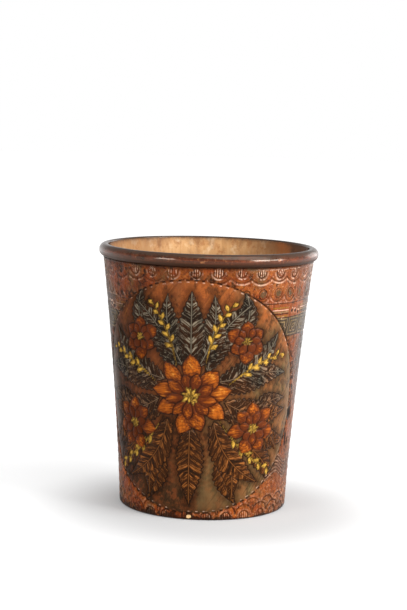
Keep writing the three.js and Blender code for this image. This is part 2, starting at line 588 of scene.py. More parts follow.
def wallRelief(angle, height, past, painting, fields, pressure):
    # How far the tools have cut below the turned wall, in mm: the sum of their cuts less the ridges, and the
    # hand's trembling. Inside the panel only its ground, the painting's relief and the marks count.
    depth = depths
    inPanel = 1 / (1 + np.exp(past / 0.3))
    outside = (1 - inPanel) * pressure
    cut = inPanel * (panel["cutDown"] - painting["rise"] + groove(painting["edge"], 0.5, depth["blade"]))
    for name, row in ringRows.items():
        kept = outside * eased((row["high"] + 0.3 - height) / 0.6) * eased((height - row["low"] + 0.3) / 0.6)
        ridge = groove(fields[name] - 0.5, 0.55, depth["ringRidge"])
        cut += kept * (groove(fields[name] + 0.35, 0.5, depth["ring"]) - ridge)
    eyeRing = groove(fields["eye"] - eyes["ring"], 0.45, depth["eyeRing"])
    cut += outside * (eyeRing + depth["eye"] * eased(-fields["eye"] / 0.4))
    for level in keyBand["cuts"]:
        cut += outside * groove(height - level, 0.4, depth["levelLine"])
    inBand = eased((keyBand["halfHeight"] + 0.6 - np.abs(height - keyBand["height"])) / 0.6)
    cut += outside * depth["keyGround"] * (1 - keyLines(angle, height)) * inBand
    cut += outside * np.where(fields["bead"] < 0, depth["bead"], 0.0)
    cut += outside * depth["prick"] * eased(1 - (fields["prick"] + 0.3) / 0.6)
    swell = waves["swell"] * np.cos(waves["repeats"] * (angle - math.radians(waves["turn"])))
    lines = np.cos(fullTurn * (height - waves["height"] - swell) / waves["pitch"])
    inWaves = eased((waves["halfHeight"] - np.abs(height - waves["height"] - swell)) / 0.5)
    cut += outside * depth["wave"] * (1 + lines) * inWaves
    cut += groove(past, panel["grooveWidth"], panel["groove"])
    cut += depth["tremble"] * ripple(angle, height, 11, 40, 90, 3.0) * (1 - inPanel)
    for mark in marks.values():
        cut += mark["depth"] * markShare(mark, angle, height)
    return np.maximum(cut + depth["allOver"], 0)


def makeWall():
    # The wall's closed section goes up the outside and down the inside. It is turned round the axis with its
    # columns closest together at the front, and the tools cut into it between the foot and the groove.
    shape = turning
    columns = crowded(shape["columns"], shape["crowding"]) * fullTurn
    rebate = shape["discRadius"] + shape["glueGap"]
    footRow = shape["footRounding"]
    grooveTop = shape["shoulder"] - shape["grooveDrop"]
    grooveFoot = grooveTop - shape["grooveWidth"]
    grooveMiddle = (grooveTop + grooveFoot) / 2
    stops = (footRow, *shape["stops"], grooveFoot)
    stretch = [np.linspace(low, high, count, endpoint=high == grooveFoot)
               for low, high, count in zip(stops, stops[1:], shape["rows"])]
    stretch = np.concatenate(stretch)
    spigot = shape["spigotRadius"]
    mouth = shape["spigotTop"]
    easeFoot = mouth - shape["mouthEase"]
    floorLevel = shape["baseThickness"] + shape["discGap"]
    inner = np.linspace(easeFoot, floorLevel, 12)
    edgeRadius, edgeHeight = arcPoints(outerRadius(footRow) - footRow, footRow, footRow, -90, 0, 5)
    seat = shape["shoulder"] - shape["seatGap"]
    section = [
        ([rebate, rebate + 0.3], [0.2, 0.0]),
        (edgeRadius[:-1], edgeHeight[:-1]),
        (outerRadius(stretch), stretch),
        ([outerRadius(grooveMiddle) - shape["grooveDepth"]], [grooveMiddle]),
        ([outerRadius(grooveTop)], [grooveTop]),
        ([shape["neckRadius"], spigot + 0.1], [seat, seat]),
        ([spigot, spigot], [shape["shoulder"] + 0.3, easeFoot]),
        ([spigot - 0.4, outerRadius(mouth) - shape["thickness"] + 0.3], [mouth, mouth]),
        (outerRadius(inner) - shape["thickness"], inner),
        ([rebate], [floorLevel]),
    ]
    radius = np.concatenate([part[0] for part in section])
    height = np.concatenate([part[1] for part in section])
    first = 2 + len(edgeHeight) - 1
    last = first + len(stretch)
    angle, heights = np.meshgrid(columns, height)
    angle = np.where(angle > math.pi, angle - fullTurn, angle)
    slip = 0.005 * ripple(angle, heights, 3, 12, 14, 60)
    lift = 0.28 * ripple(angle, heights, 4, 12, 12, 80)
    turned, level = angle + slip, heights + lift

    right, up = panelPlace(turned, level)
    past = np.hypot(right, up) - panel["radius"]
    painting = newPainting(turned.shape)
    paintSpray(painting, (right, up))
    fields = {"bead": beadDistance(turned, level), "prick": prickDistance(turned, level)}
    sides = {}
    for name, row in [*ringRows.items(), ("eye", eyes)]:
        fields[name], sides[name] = ringDistance(row, turned, level)
    worn = sum(mark["tone"] * markShare(mark, turned, level) for mark in marks.values())

    # The cuts fade towards the foot's rounding and towards the groove
    tooled = np.zeros(len(radius))
    tooled[first:last] = np.clip((stretch - footRow) / 0.6, 0, 1)
    tooled[first:last] *= np.clip((grooveFoot - stretch) / 0.5, 0, 1)
    pressure = handPressure(turned, level)
    radii = radius[:, None] - tooled[:, None] * wallRelief(turned, level, past, painting, fields, pressure)
    piece = gridPiece("beakerWall", radii, angle, heights, True)
    storeVectors(piece, "hand", slip, lift, worn)
    storeVectors(piece, "panel", right, up, past)
    storeVectors(piece, "strokes", sides["pendant"], sides["footArch"], pressure)
    for label, names in (("blade", ("edge", "along", "across")), ("paint", ("leaf", "petal", "gold"))):
        storeVectors(piece, label, *[painting[name] for name in names])
    for label, names in (("topRows", ("pendant", "swag", "cup")), ("spots", ("eye", "bead", "prick")),
                         ("footRows", ("footArch", "footSwag", "footCrest"))):
        storeVectors(piece, label, *[fields[name] for name in names])

    # Bare wood from the bead's seat in to the rebate
    bare = np.zeros(len(radius), int)
    bare[last + 3:] = 1
    bare[0] = 1
    piece.data.polygons.foreach_set("material_index", np.repeat(bare, len(columns)).astype(np.int32))
    return piece


# Bead ring, with a chip and two nicks on its face

bead = {
    "columns": 420,
    "rows": 44,
    "wobble": 0.05,
    "chips": (
        {"turn": -3.0, "rise": -8, "halfTurn": 0.9, "halfRise": 15, "depth": 0.18},
        {"turn": -1.2, "rise": 2, "halfTurn": 0.45, "halfRise": 8, "depth": 0.12},
        {"turn": 38.2, "rise": 10, "halfTurn": 0.8, "halfRise": 13, "depth": 0.15},
    ),
}


def makeRing():
    # The bead is a round from its seat over the crest to its bore, turned round the axis. Its radius wobbles
    # a little and dips at the chips, and the points there are marked as worn.
    shape = turning
    middle = shape["ringRadius"] - shape["beadRadius"]
    centre = shape["crest"] - shape["beadRadius"]
    bore = shape["spigotRadius"] + shape["glueGap"]
    columns = np.arange(bead["columns"]) / bead["columns"] * fullTurn
    angle, rise = np.meshgrid(columns, np.linspace(-79, 114, bead["rows"]))
    angle = np.where(angle > math.pi, angle - fullTurn, angle)
    worn = np.zeros(angle.shape)
    wobble = (0.5 + 0.4 * ripple(angle, rise / 30, 8, 10, 9, 12)).clip(0, 1)
    size = shape["beadRadius"] - bead["wobble"] * wobble
    for chip in bead["chips"]:
        aside = (np.degrees(angle) - chip["turn"]) / chip["halfTurn"]
        aloft = (rise - chip["rise"]) / chip["halfRise"]
        share = eased(1.5 * (1 - np.hypot(aside, aloft)))
        size -= chip["depth"] * share
        worn += share
    radii = middle + size * np.cos(np.radians(rise))
    heights = centre + size * np.sin(np.radians(rise))
    level = np.full((1, len(columns)), shape["shoulder"])
    edge = np.full((1, len(columns)), bore)
    radii = np.concatenate([edge, edge + 0.2, radii, edge])
    heights = np.concatenate([level + 0.2, level, heights, heights[-1:] - 0.2])
    angles = np.repeat(angle[:1], len(radii), axis=0)
    piece = gridPiece("rimBead", radii, angles, heights, True)
    worn = np.pad(worn, ((2, 1), (0, 0)))
    storeVectors(piece, "hand", worn, worn, worn)
    return piece


bottomDisc = {"columns": 192, "rows": 40, "ridgePitch": 2.6, "ridge": 0.06}


def makeBottom():
    # A disc whose two faces have shallow turning rings, by ridge * (1 + cos(2 pi radius / pitch)), that fade
    # towards the edge
    shape = bottomDisc
    reach = turning["discRadius"]
    thick = turning["baseThickness"]
    under = np.linspace(0.4, reach - 0.3, shape["rows"])
    radius = np.concatenate([under, [reach, reach], under[::-1]])
    turned = shape["ridge"] * (1 + np.cos(fullTurn * under / shape["ridgePitch"]))
    turned = turned * np.clip((reach - 1 - under) / 2, 0, 1)
    height = np.concatenate([turned, [0.3, thick - 0.2], thick - turned[::-1]])
    columns = np.arange(shape["columns"]) / shape["columns"] * fullTurn
    angle, heights = np.meshgrid(columns, height)
    radii = np.repeat(radius[:, None], len(columns), axis=1)
    return gridPiece("bottomDisc", radii, angle, heights, False)


# Finishes

wallColours = {
    "ground": "#8e411b",
    "groundDark": "#371a0e",
    "groundLight": "#b0622a",
    # paler, greyer ground on the right: partly fading, partly painted sheen where light grazes that side
    "faded": "#915e3b",
    "soot": "#40362f",
    "olive": "#6e5230",
    "line": "#26120b",
    "char": "#150c08",
    # pale colour of rubbed varnish, also used for painted highlights on the ridges and for a painted line in
    # the key band
    "rub": "#ecc3a8",
    "panelBrown": "#834b28",
    "panelDark": "#261d13",
    "panelOlive": "#6d5838",
    "panelWarm": "#ab5a28",
    "panelRust": "#7c4122",
    # painted sheen along the panel's far left edge
    "panelVeil": "#785640",
    "panelStreak": "#b86c30",
    "leaf": "#16100b",
    "leafLight": "#4f2a12",
    "hatch": "#9a8e78",
    "hatchWarm": "#a0602d",
    "petal": "#c8681c",
    "petalLight": "#dc9338",
    "petalDark": "#602b12",
    "gold": "#dcab46",
    "goldDark": "#8a6424",
    "waveGround": "#5f4838",
    "keyGround": "#40342a",
    "keyLine": "#8f7650",
    "eye": "#55462f",
    "bareWood": "#e6bd88",
    "varnishTint": "#ffc890",
}

wallPatterns = {  # mm across the largest features of each pattern, or from one mark to the next
    "mottle": 4.5,
    "cloud": 16.0,
    "veil": 9.0,
    "fine": 1.3,
    "speck": 2.1,
    "stipple": 1.7,
    "smoke": 9.0,
    "chatter": 0.9,
    "torn": 2.4,
    "hair": 1.1,
    "rib": 3.2,
    "comb": 1.05,
    "dash": 3.4,
}


def burntWoodMaterial():
    # Pale close-grained wood, turned, burnt with a hot point, stained, painted and varnished. The eye sees a
    # mottled red-brown ground, charred lines with pale ridges that are rubbed varnish and painted highlight,
    # small bright flecks of varnish, some of them painted glints, painted shade on the left side, and painted
    # sheen on the right side and at the panel's far left edge.
    # Every pattern is a share from 0 to 1 that says how far one colour covers what is under it.
    material, add, product, layered = newMaterial("burntStainedVarnishedWood", wallColours)
    size = wallPatterns

    def stored(name):
        # The three numbers kept under a name at every point of the mesh
        vector = add("Attribute", attribute_name=name).node.outputs["Vector"]
        return tuple(add("SeparateXYZ", vector).node.outputs)

    def drawnLine(distance, middle, width):
        # 1 where a distance has the value middle, easing to 0 a width away
        away = add("Math.ABSOLUTE", add("Math.SUBTRACT", distance, middle))
        return add("MapRange", away, 0.0, width, 1.0, 0.0, interpolation_type="SMOOTHSTEP")

    slip, lift, worn = stored("hand")
    edge, along, across = stored("blade")
    leaf, petal, gold = stored("paint")
    right, up, past = stored("panel")
    pendant, swag, cup = stored("topRows")
    footArch, footSwag, footCrest = stored("footRows")
    eye, keyBead, prick = stored("spots")
    pendantSide, footSide, pressure = stored("strokes")

    place = add("VectorMath.SCALE", add("TexCoord").node.outputs["Object"], 1 / mm)
    x, y, z = add("SeparateXYZ", place).node.outputs
    height = add("Math.ADD", z, lift)
    angle = add("Math.ARCTAN2", x, product(y, -1.0))
    angle = add("Math.ADD", angle, slip)
    sideways = add("Math.SINE", angle)
    outside = add("MapRange", past, -0.2, 0.2)

    # Grain along the wall, mottling and clouds of the stain, and the stipple of a hot point
    upright = add("VectorMath.MULTIPLY", place, (1.0, 1.0, 0.07))
    tall = add("VectorMath.MULTIPLY", place, (1.0, 1.0, 0.6))
    grain = add("TexNoise", upright, 1.1, 3.0, 0.6)
    mottle = add("MapRange", add("TexNoise", place, 1 / size["mottle"], 4.0, 0.68), 0.38, 0.62)
    cloud = add("TexNoise", place, 1 / size["cloud"], 3.0, 0.6)
    veil = add("TexNoise", tall, 1 / size["veil"], 4.0, 0.6)
    fine = add("TexNoise", place, 1 / size["fine"], 3.0, 0.62)
    speck = add("TexNoise", tall, 1 / size["speck"], 4.0, 0.7)
    stipple = add("TexVoronoi", place, 1 / size["stipple"])

    # Ground outside the panel: charred smudges in the red-brown stain, with painted shade that makes them and
    # the clouds of scorching darker towards the left, orange where it wore thin, olive films, a faded stain on
    # the right under a painted sheen, sooty on the upper half of the back, specks and clouds of scorching, and
    # the clouds a little thicker towards the ring as painted shade
    # painted shade: 1 towards the left side, where the smudges, the clouds and the dark band along the foot
    # are made darker
    leftShade = add("Math.MULTIPLY_ADD", cloud, 50.0, x)
    leftShade = add("MapRange", leftShade, 57.0, -20.0)
    smudge = add("Math.MULTIPLY_ADD", speck, 1.6, mottle)
    smudge = add("Math.MULTIPLY_ADD", leftShade, -0.35, smudge)
    thin = add("Math.MULTIPLY_ADD", cloud, 1.2, fine)
    thin = add("Math.ADD", thin, add("MapRange", height, 19.0, 15.0, 0.0, 0.05))
    film = product((veil, 0.5, 0.64, 0.0, 0.8), (speck, 0.4, 0.55, 0.3, 1.0))
    rightSide = add("Math.MULTIPLY_ADD", cloud, 0.8, sideways)
    rightSide = add("MapRange", rightSide, 0.88, 1.33)
    # painted sheen with fading on the right side, towards its edge
    faded = product(rightSide, (speck, 0.4, 0.6, 0.85, 0.45), (veil, 0.35, 0.6, 1.0, 0.45))
    sooty = product((fine, 0.42, 0.58, 0.55, 0.1), (height, 92.0, 84.0), rightSide)
    behind = add("Math.MULTIPLY_ADD", cloud, -0.5, add("Math.COSINE", angle))
    behind = product((behind, 0.2, 0.03), (add("Math.MULTIPLY_ADD", veil, 60.0, height), 76.0, 96.0),
                     (height, 96.0, 106.0, 1.0, 0.35), (mottle, 0.1, 0.9, 1.0, 0.6))
    smoke = add("TexNoise", place, 1 / size["smoke"], 5.0, 0.65)
    smoke = add("Math.MULTIPLY_ADD", leftShade, 0.05, smoke)
    # painted shade: the clouds a little thicker towards the ring
    smoke = add("Math.ADD", smoke, add("MapRange", z, 104.0, 113.0, 0.0, 0.08))
    colour = layered("groundDark", ((smudge, 0.55, 1.2), "ground"),
                     ((thin, 1.1, 1.38, 0.0, 0.9), "groundLight"), (film, "olive"), (faded, "faded"),
                     (sooty, "groundDark"), (behind, "soot"),
                     ((speck, 0.43, 0.35, 0.0, 0.75), "char"), ((smoke, 0.54, 0.78, 0.0, 0.8), "groundDark"))

    # Ground inside the panel: dark on the left, olive on the right, brown to orange above, in soft clouds,
    # with fine slanting strokes of the brush, darker beside every leaf and petal, and a painted sheen, paler
    # brown, along the far left edge
    lean = add("Math.MULTIPLY_ADD", up, 0.82, product(right, 0.57))
    beside = add("Math.MULTIPLY_ADD", up, 0.57, product(right, -0.82))
    slanted = add("CombineXYZ", product(lean, 0.07), beside, 3.0)
    brush = add("TexNoise", slanted, 0.9, 4.0, 0.62)
    drift = add("Math.MULTIPLY_ADD", cloud, 60.0, right)
    leftward = add("MapRange", drift, 22.0, -12.0)
    rightward = add("MapRange", add("Math.MULTIPLY_ADD", up, -0.35, drift), 26.0, 56.0)
    upward = add("MapRange", add("Math.MULTIPLY_ADD", veil, 40.0, up), 24.0, 62.0)
    warm = product((veil, 0.36, 0.6, 0.0, 0.85), (upward, 0.0, 1.0, 0.35, 1.0),
                   (leftward, 0.0, 1.0, 1.0, 0.1))
    streak = product((brush, 0.56, 0.7, 0.0, 0.6), (veil, 0.4, 0.6, 0.2, 1.0))
    lower = add("Math.MULTIPLY_ADD", veil, -40.0, add("Math.ADD", up, drift))
    ember = product((add("Math.MULTIPLY_ADD", fine, 1.5, mottle), 1.1, 1.5, 0.0, 0.75),
                    (rightward, 0.0, 1.0, 1.0, 0.3))
    singed = add("Math.MULTIPLY_ADD", speck, 1.2, cloud)
    # painted sheen: paler brown towards the far left edge of the panel, where light grazes
    paintedLeftSheen = product((sideways, -0.84, -0.96, 0.0, 0.7), (speck, 0.4, 0.62, 1.0, 0.35))
    inner = layered("panelBrown", (leftward, "panelDark"), (rightward, "panelOlive"), (warm, "panelWarm"),
                    (streak, "panelStreak"), ((brush, 0.46, 0.34, 0.0, 0.5), "panelDark"),
                    ((lower, -5.0, -40.0, 0.0, 0.75), "panelDark"), (ember, "panelRust"),
                    ((singed, 1.08, 0.9, 0.0, 0.65), "panelDark"), (paintedLeftSheen, "panelVeil"))
    near = add("MapRange", edge, 0.0, 4.0, 0.45, 1.08, interpolation_type="SMOOTHSTEP")
    inner = add("HueSaturation", 0.5, 1.0, near, 1.0, inner)

    # Leaves: charred, with a pale midrib, ribs and fine pale strokes that slant from it towards the tip
    spread = add("Math.ABSOLUTE", across)
    slant = add("Math.MULTIPLY_ADD", spread, -0.9, along)
    slant = add("Math.MULTIPLY_ADD", cloud, 5.0, slant)
    hair = add("CombineXYZ", slant, product(spread, 0.22), cloud)
    hair = add("TexNoise", hair, 1 / size["hair"], 2.0, 0.5)
    thread = add("CombineXYZ", product(slant, 2.1), product(spread, 0.5), veil)
    thread = add("TexNoise", thread, 1 / size["hair"], 2.0, 0.5)
    ribs = add("Math.SINE", product(slant, fullTurn / size["rib"]))
    ribs = product((ribs, 0.88, 1.0, 0.0, 0.45), (fine, 0.4, 0.55, 0.1, 1.0))
    strokes = product((hair, 0.57, 0.64), (veil, 0.36, 0.56, 0.15, 0.9))
    strokes = add("Math.MAXIMUM", strokes, ribs)
    strokes = add("Math.MAXIMUM", add("MapRange", thread, 0.62, 0.68, 0.0, 0.6), strokes)
    warmLeaf = add("MapRange", add("Math.MULTIPLY_ADD", veil, -60.0, up), -14.0, -44.0)
    leafTone = add("Math.MAXIMUM", add("MapRange", veil, 0.4, 0.65), warmLeaf)
    leafTone = product(leafTone, (hair, 0.3, 0.6, 0.1, 0.8))
    midrib = product(drawnLine(across, 0.0, 0.35), 0.55)
    hatch = layered("hatch", (warmLeaf, "hatchWarm"))
    leafColour = layered("leaf", (leafTone, "leafLight"), (strokes, hatch),
                         (drawnLine(across, 0.0, 0.9), "char"), (midrib, hatch))

    # Petals: orange stain with streaks from the root, burnt dark at the root and under the next petal. The
    # gold of sprigs and stamens lies over the shade on the left of the panel.
    vein = add("CombineXYZ", product(along, 0.14), across, z)
    vein = add("TexNoise", vein, 1.1, 3.0, 0.6)
    lit = add("MapRange", along, 1.0, 12.0, -0.1, 0.75)
    for stage in ((vein, 0.35, 0.68, -0.45, 0.4), (edge, -1.8, -0.2, 0.0, -0.5),
                  (veil, 0.5, 0.35, 0.0, -0.3)):
        lit = add("Math.ADD", add("MapRange", *stage), lit)
    flare = product((mottle, 0.5, 1.0), (lit, 0.5, 0.9))
    petalColour = layered("petalDark", (lit, "petal"), (flare, "petalLight"))
    goldColour = layered("goldDark", ((fine, 0.35, 0.55), "gold"))
    inner = layered(inner, (leaf, leafColour), (petal, petalColour))
    inner = add("HueSaturation", 0.5, 1.0, add("MapRange", leftward, 0.2, 1.0, 1.0, 0.6), 1.0, inner)
    inner = layered(inner, (gold, goldColour))
    colour = layered(inner, (outside, colour))

    # Key band: painted spirals on a dark ground, level lines and beads above, all of it sooty at the back
    band = keyBand
    pitch = fullTurn * outerRadius(band["height"]) / band["repeats"]
    start = 0.5 - band["turn"] * band["repeats"] / 360
    cell = add("Math.MULTIPLY_ADD", angle, band["repeats"] / fullTurn, start)
    pair = add("Math.FRACT", product(cell, 0.5))
    odd = product(add("Math.GREATER_THAN", pair, 0.5), outside, (sideways, -0.4, -0.75, 1.0, 0.3))
    rise = add("Math.SUBTRACT", height, band["height"])
    above = add("Math.GREATER_THAN", rise, 0.0)
    rise = add("Math.ABSOLUTE", rise)
    square = add("Math.MULTIPLY_ADD", add("Math.FRACT", cell), pitch, -pitch / 2)
    square = add("Math.MULTIPLY_ADD", above, -band["pitch"] / 2, square)
    square = add("Math.ABSOLUTE", square)
    square = product(square, band["halfHeight"] / band["halfWidth"])
    square = add("Math.MAXIMUM", square, rise)
    spiral = add("Math.FRACT", product(square, 1 / band["pitch"]))
    spiral = add("Math.ABSOLUTE", add("Math.SUBTRACT", spiral, 0.5))
    spiral = product((spiral, 0.14, 0.3, 1.0, 0.0), (fine, 0.36, 0.56, 0.45, 1.0),
                     (square, band["halfHeight"], band["halfHeight"] + 0.2, 1.0, 0.0),
                     (veil, 0.36, 0.56, 1.0, 0.6))
    inBand = product((rise, band["halfHeight"] + 0.2, band["halfHeight"] + 0.5, 1.0, 0.0), outside)
    colour = layered(colour, (inBand, layered("keyGround", (spiral, "keyLine"))))
    for level, width, name in band["strips"]:
        colour = layered(colour, (product(drawnLine(height, level, width), odd), name))
    colour = layered(colour, (product(behind, 0.7), "soot"))

    # Charred lines and the pale ridges beside them, which are rubbed varnish and also painted highlights where
    # light would catch the ridges: pricks, a pale line under the ring on the right only, as a painted
    # highlight, the rows of rings, whose ridges fade beside a ring's middle so that the painted highlight
    # stays near the bottom of each ring, the comb inside the arches with pale strokes, the tool's chatter with
    # painted glints mostly on the right, and the level cuts
    burnt = drawnLine(prick, -0.45, 0.7)
    # painted highlight: a pale line under the ring, only on the right
    rubbed = product(drawnLine(z, 113.2, 0.5), (angle, 0.2, 0.9, 0.0, 0.9))
    distances = dict(zip(ringRows, (pendant, swag, cup, footArch, footSwag, footCrest)))
    # where the painted highlight on each row's ridges stays strongest
    ridgeFade = {"pendant": (1.2, 2.4, 1.0, 0.35), "swag": (1.6, 4.2, 1.0, 0.3)}
    aside = add("Math.ABSOLUTE", pendantSide)
    for name, row in ringRows.items():
        low, high = row["low"], row["high"]
        kept = product((height, low - 0.3, low + 0.3), (height, high + 0.3, high - 0.3))
        line = product(drawnLine(distances[name], -0.3, 0.6), kept, row["dark"])
        ridge = product(drawnLine(distances[name], 0.5, 0.6), kept, row["ridge"])
        if name in ridgeFade:
            ridge = product(ridge, (aside, *ridgeFade[name]))
        burnt = add("Math.MAXIMUM", burnt, line)
        rubbed = add("Math.MAXIMUM", rubbed, ridge)
    for distance, side, paleness in ((pendant, pendantSide, 1.0), (footArch, footSide, 0.35)):
        comb = add("Math.COSINE", product(side, fullTurn / size["comb"]))
        within = add("MapRange", distance, -0.4, -0.7)
        burnt = add("Math.MAXIMUM", burnt, product((comb, 0.3, 0.9, 0.0, 0.7), within))
        rubbed = add("Math.MAXIMUM", rubbed, product((comb, -0.1, -0.8, 0.0, paleness), within))
    flat = add("VectorMath.MULTIPLY", place, (1.0, 1.0, 1.6))
    chatter = add("TexNoise", flat, 1 / size["chatter"], 2.0, 0.5)
    # painted glints: pale flecks, stronger towards the right
    paintedGlint = product((sideways, 0.1, 0.8, 0.1, 0.55), (chatter, 0.62, 0.7))
    rubbed = add("Math.MAXIMUM", rubbed, paintedGlint)
    burnt = add("Math.MAXIMUM", burnt, add("MapRange", chatter, 0.38, 0.3, 0.0, 0.6))
    for level in band["cuts"]:
        burnt = add("Math.MAXIMUM", burnt, drawnLine(height, level, 0.4))
        rubbed = add("Math.MAXIMUM", rubbed, product(drawnLine(height, level + 0.6, 0.4), 0.4))
    pressed = product(outside, pressure)
    rubbed = product(rubbed, pressed)
    burnt = product(burnt, pressed)
    colour = layered(colour, (product(burnt, 0.8), "line"))
    burnt = product(burnt, 0.4)

    # Wavy band over the foot rows: dark lines and pale ridges on a dull ground
    wave = add("Math.MULTIPLY_ADD", angle, waves["repeats"], -waves["repeats"] * math.radians(waves["turn"]))
    wave = add("Math.COSINE", wave)
    wave = add("Math.MULTIPLY_ADD", wave, -waves["swell"], height)
    wave = add("Math.SUBTRACT", wave, waves["height"])
    inWaves = product((add("Math.ABSOLUTE", wave), waves["halfHeight"], waves["halfHeight"] - 0.5), pressed)
    wave = add("Math.COSINE", product(wave, fullTurn / waves["pitch"]))
    waveGround = product(inWaves, (speck, 0.4, 0.6, 0.35, 0.8))
    waveLine = product((wave, 0.0, 0.8, 0.0, 0.8), inWaves, (fine, 0.36, 0.54, 0.5, 1.0))
    waveRidge = product((wave, -0.3, -0.9, 0.0, 0.28), inWaves)
    colour = layered(colour, (waveGround, "waveGround"), (waveLine, "line"))
    rubbed = add("Math.MAXIMUM", rubbed, waveRidge)

    # Dashed outline of the panel with pale dashes inside it, solid at the upper right and torn at the lower
    # right, and outlines of the leaves and petals
    bearing = add("Math.ARCTAN2", up, right)
    dash = product(bearing, panel["radius"] * fullTurn / size["dash"])
    dash = add("Math.MULTIPLY_ADD", fine, 6.0, dash)
    dash = add("Math.SINE", dash)
    solid = add("MapRange", drawnLine(bearing, 0.75, 0.55), 0.2, 0.6)
    rim = add("Math.MAXIMUM", add("MapRange", dash, -0.4, 0.1), solid)
    rim = product(rim, drawnLine(past, 0.1, 0.7))
    paleDash = product((dash, 0.2, 0.8), drawnLine(past, -0.7, 0.42), (veil, 0.36, 0.54, 0.25, 0.9))
    torn = add("TexNoise", place, 1 / size["torn"], 3.0, 0.6)
    torn = product((torn, 0.48, 0.56), drawnLine(past, 1.4, 1.6), (drawnLine(bearing, 0.05, 0.6), 0.1, 0.5))
    outline = product(drawnLine(edge, 0.0, 0.5), (past, -0.2, 0.2, 0.9, 0.0))
    for share in (rim, torn, outline):
        burnt = add("Math.MAXIMUM", burnt, share)
    rubbed = add("Math.MAXIMUM", rubbed, paleDash)

    # Eyes with a charred ring, faint on the left, and beads with a pale halo
    faint = add("MapRange", sideways, -0.4, -0.75, 1.0, 0.35)
    disc = product((eye, -0.1, 0.1, 1.0, 0.0), outside, (fine, 0.36, 0.56, 0.4, 1.0), faint)
    colour = layered(colour, (disc, "eye"))
    socket = product(drawnLine(eye, eyes["ring"], 0.4), outside, product(faint, 0.8))
    burnt = add("Math.MAXIMUM", burnt, socket)
    burnt = add("Math.MAXIMUM", burnt, product((keyBead, 0.05, -0.15), outside))
    rubbed = add("Math.MAXIMUM", rubbed, product(drawnLine(keyBead, 0.45, 0.5), outside))

    # The hand's pressure varies, so lines fade here and there. Over them lie dirt with painted shade under the
    # ring, weaker on the right, a dark band along the foot, higher on the left as painted shade, the marks,
    # charred or with bare wood in the chips and with painted shade in the gouge, and the grain.
    steady = add("MapRange", mottle, 0.0, 0.5, 0.5, 1.0)
    broken = add("MapRange", add("Math.MULTIPLY_ADD", cloud, 1.0, fine), 0.95, 1.08, 0.05, 1.0)
    # painted shade with dirt: a dark line under the ring, weaker towards the right
    shadeAndDirtUnderRing = product(drawnLine(z, 114.1, 1.3), (angle, 0.6, 1.2, 0.8, 0.35))
    # a dark band along the foot, whose height painted shade raises on the left
    foot = add("Math.MULTIPLY_ADD", product(mottle, leftShade), -2.4, z)
    foot = add("Math.MULTIPLY_ADD", mottle, -2.0, foot)
    chipped = add("Math.MULTIPLY_ADD", fine, 1.6, worn)
    colour = layered(colour, (product(rubbed, broken), "rub"), (product(burnt, steady), "char"),
                     (shadeAndDirtUnderRing, "char"), ((foot, 0.9, 0.0, 0.0, 0.85), "char"), ((worn, -0.1, -0.7), "char"),
                     ((chipped, 1.15, 1.6), "bareWood"))
    grained = product((outside, 0.0, 1.0, 0.08, 0.22), 5.0)
    grained = add("Math.MULTIPLY_ADD", add("Math.SUBTRACT", grain, 0.5), grained, 1.0)
    colour = add("HueSaturation", 0.5, 1.0, grained, 1.0, colour)

    # Relief too fine for the mesh, in mm: stipple, pits, grain, and the burnt, rubbed and drawn strokes
    relief = product((stipple, 0.0, 0.6, -0.12, 0.0), (outside, 0.0, 1.0, 0.25, 1.0))
    pitted = product(speck, (outside, 0.0, 1.0, 0.25, 0.7))
    relief = add("Math.MULTIPLY_ADD", fine, 0.1, relief)
    relief = add("Math.ADD", pitted, relief)
    for share, rise in ((grain, 0.05), (burnt, -0.14), (rubbed, 0.06), (product(strokes, leaf), 0.05)):
        relief = add("Math.MULTIPLY_ADD", share, rise, relief)
    bump = add("Bump", named={"Strength": 1.0, "Distance": mm, "Height": relief})

    # Varnish: a thicker coat at the far right and, inside the panel, at the far left, thinner near the foot
    matt = product(leftward, (outside, 0.0, 1.0, 0.2, 0.0))
    rough = add("Math.ADD", add("MapRange", mottle, 0.0, 1.0, 0.46, 0.32), matt)
    coat = product((sideways, 0.82, 0.96, 0.08, 0.45), (matt, 0.0, 0.15, 1.0, 0.0),
                   (height, 25.0, 65.0, 0.55, 1.0))
    sheen = product((sideways, -0.9, -0.98), (outside, 0.0, 1.0, 0.24, 0.0))
    coat = add("Math.MAXIMUM", coat, sheen)
    shader = add("BsdfPrincipled", named={
        "Base Color": colour, "Roughness": rough, "IOR": 1.5,
        "Specular IOR Level": 0.07, "Specular Tint": linear(wallColours["varnishTint"]), "Normal": bump,
        "Coat Weight": coat, "Coat Roughness": 0.09, "Coat Normal": bump,
    })
    add("OutputMaterial", shader)
    return material


bareColours = {
    "pale": "#cfa26e",
    "warm": "#be8850",
    "spot": "#a56836",
    "bleached": "#e2c49c",
    # brown stain, also used as painted shade inside the mouth
    "stain": "#7c4f2b",
    "rust": "#a05a26",
    # dirt at the rim, and painted shadow at the far right inside
    "soil": "#33231a",
}
barePatterns = {"drip": 5.0, "blotch": 18.0, "spot": 3.6, "clean": 6.0}  # mm across the largest features


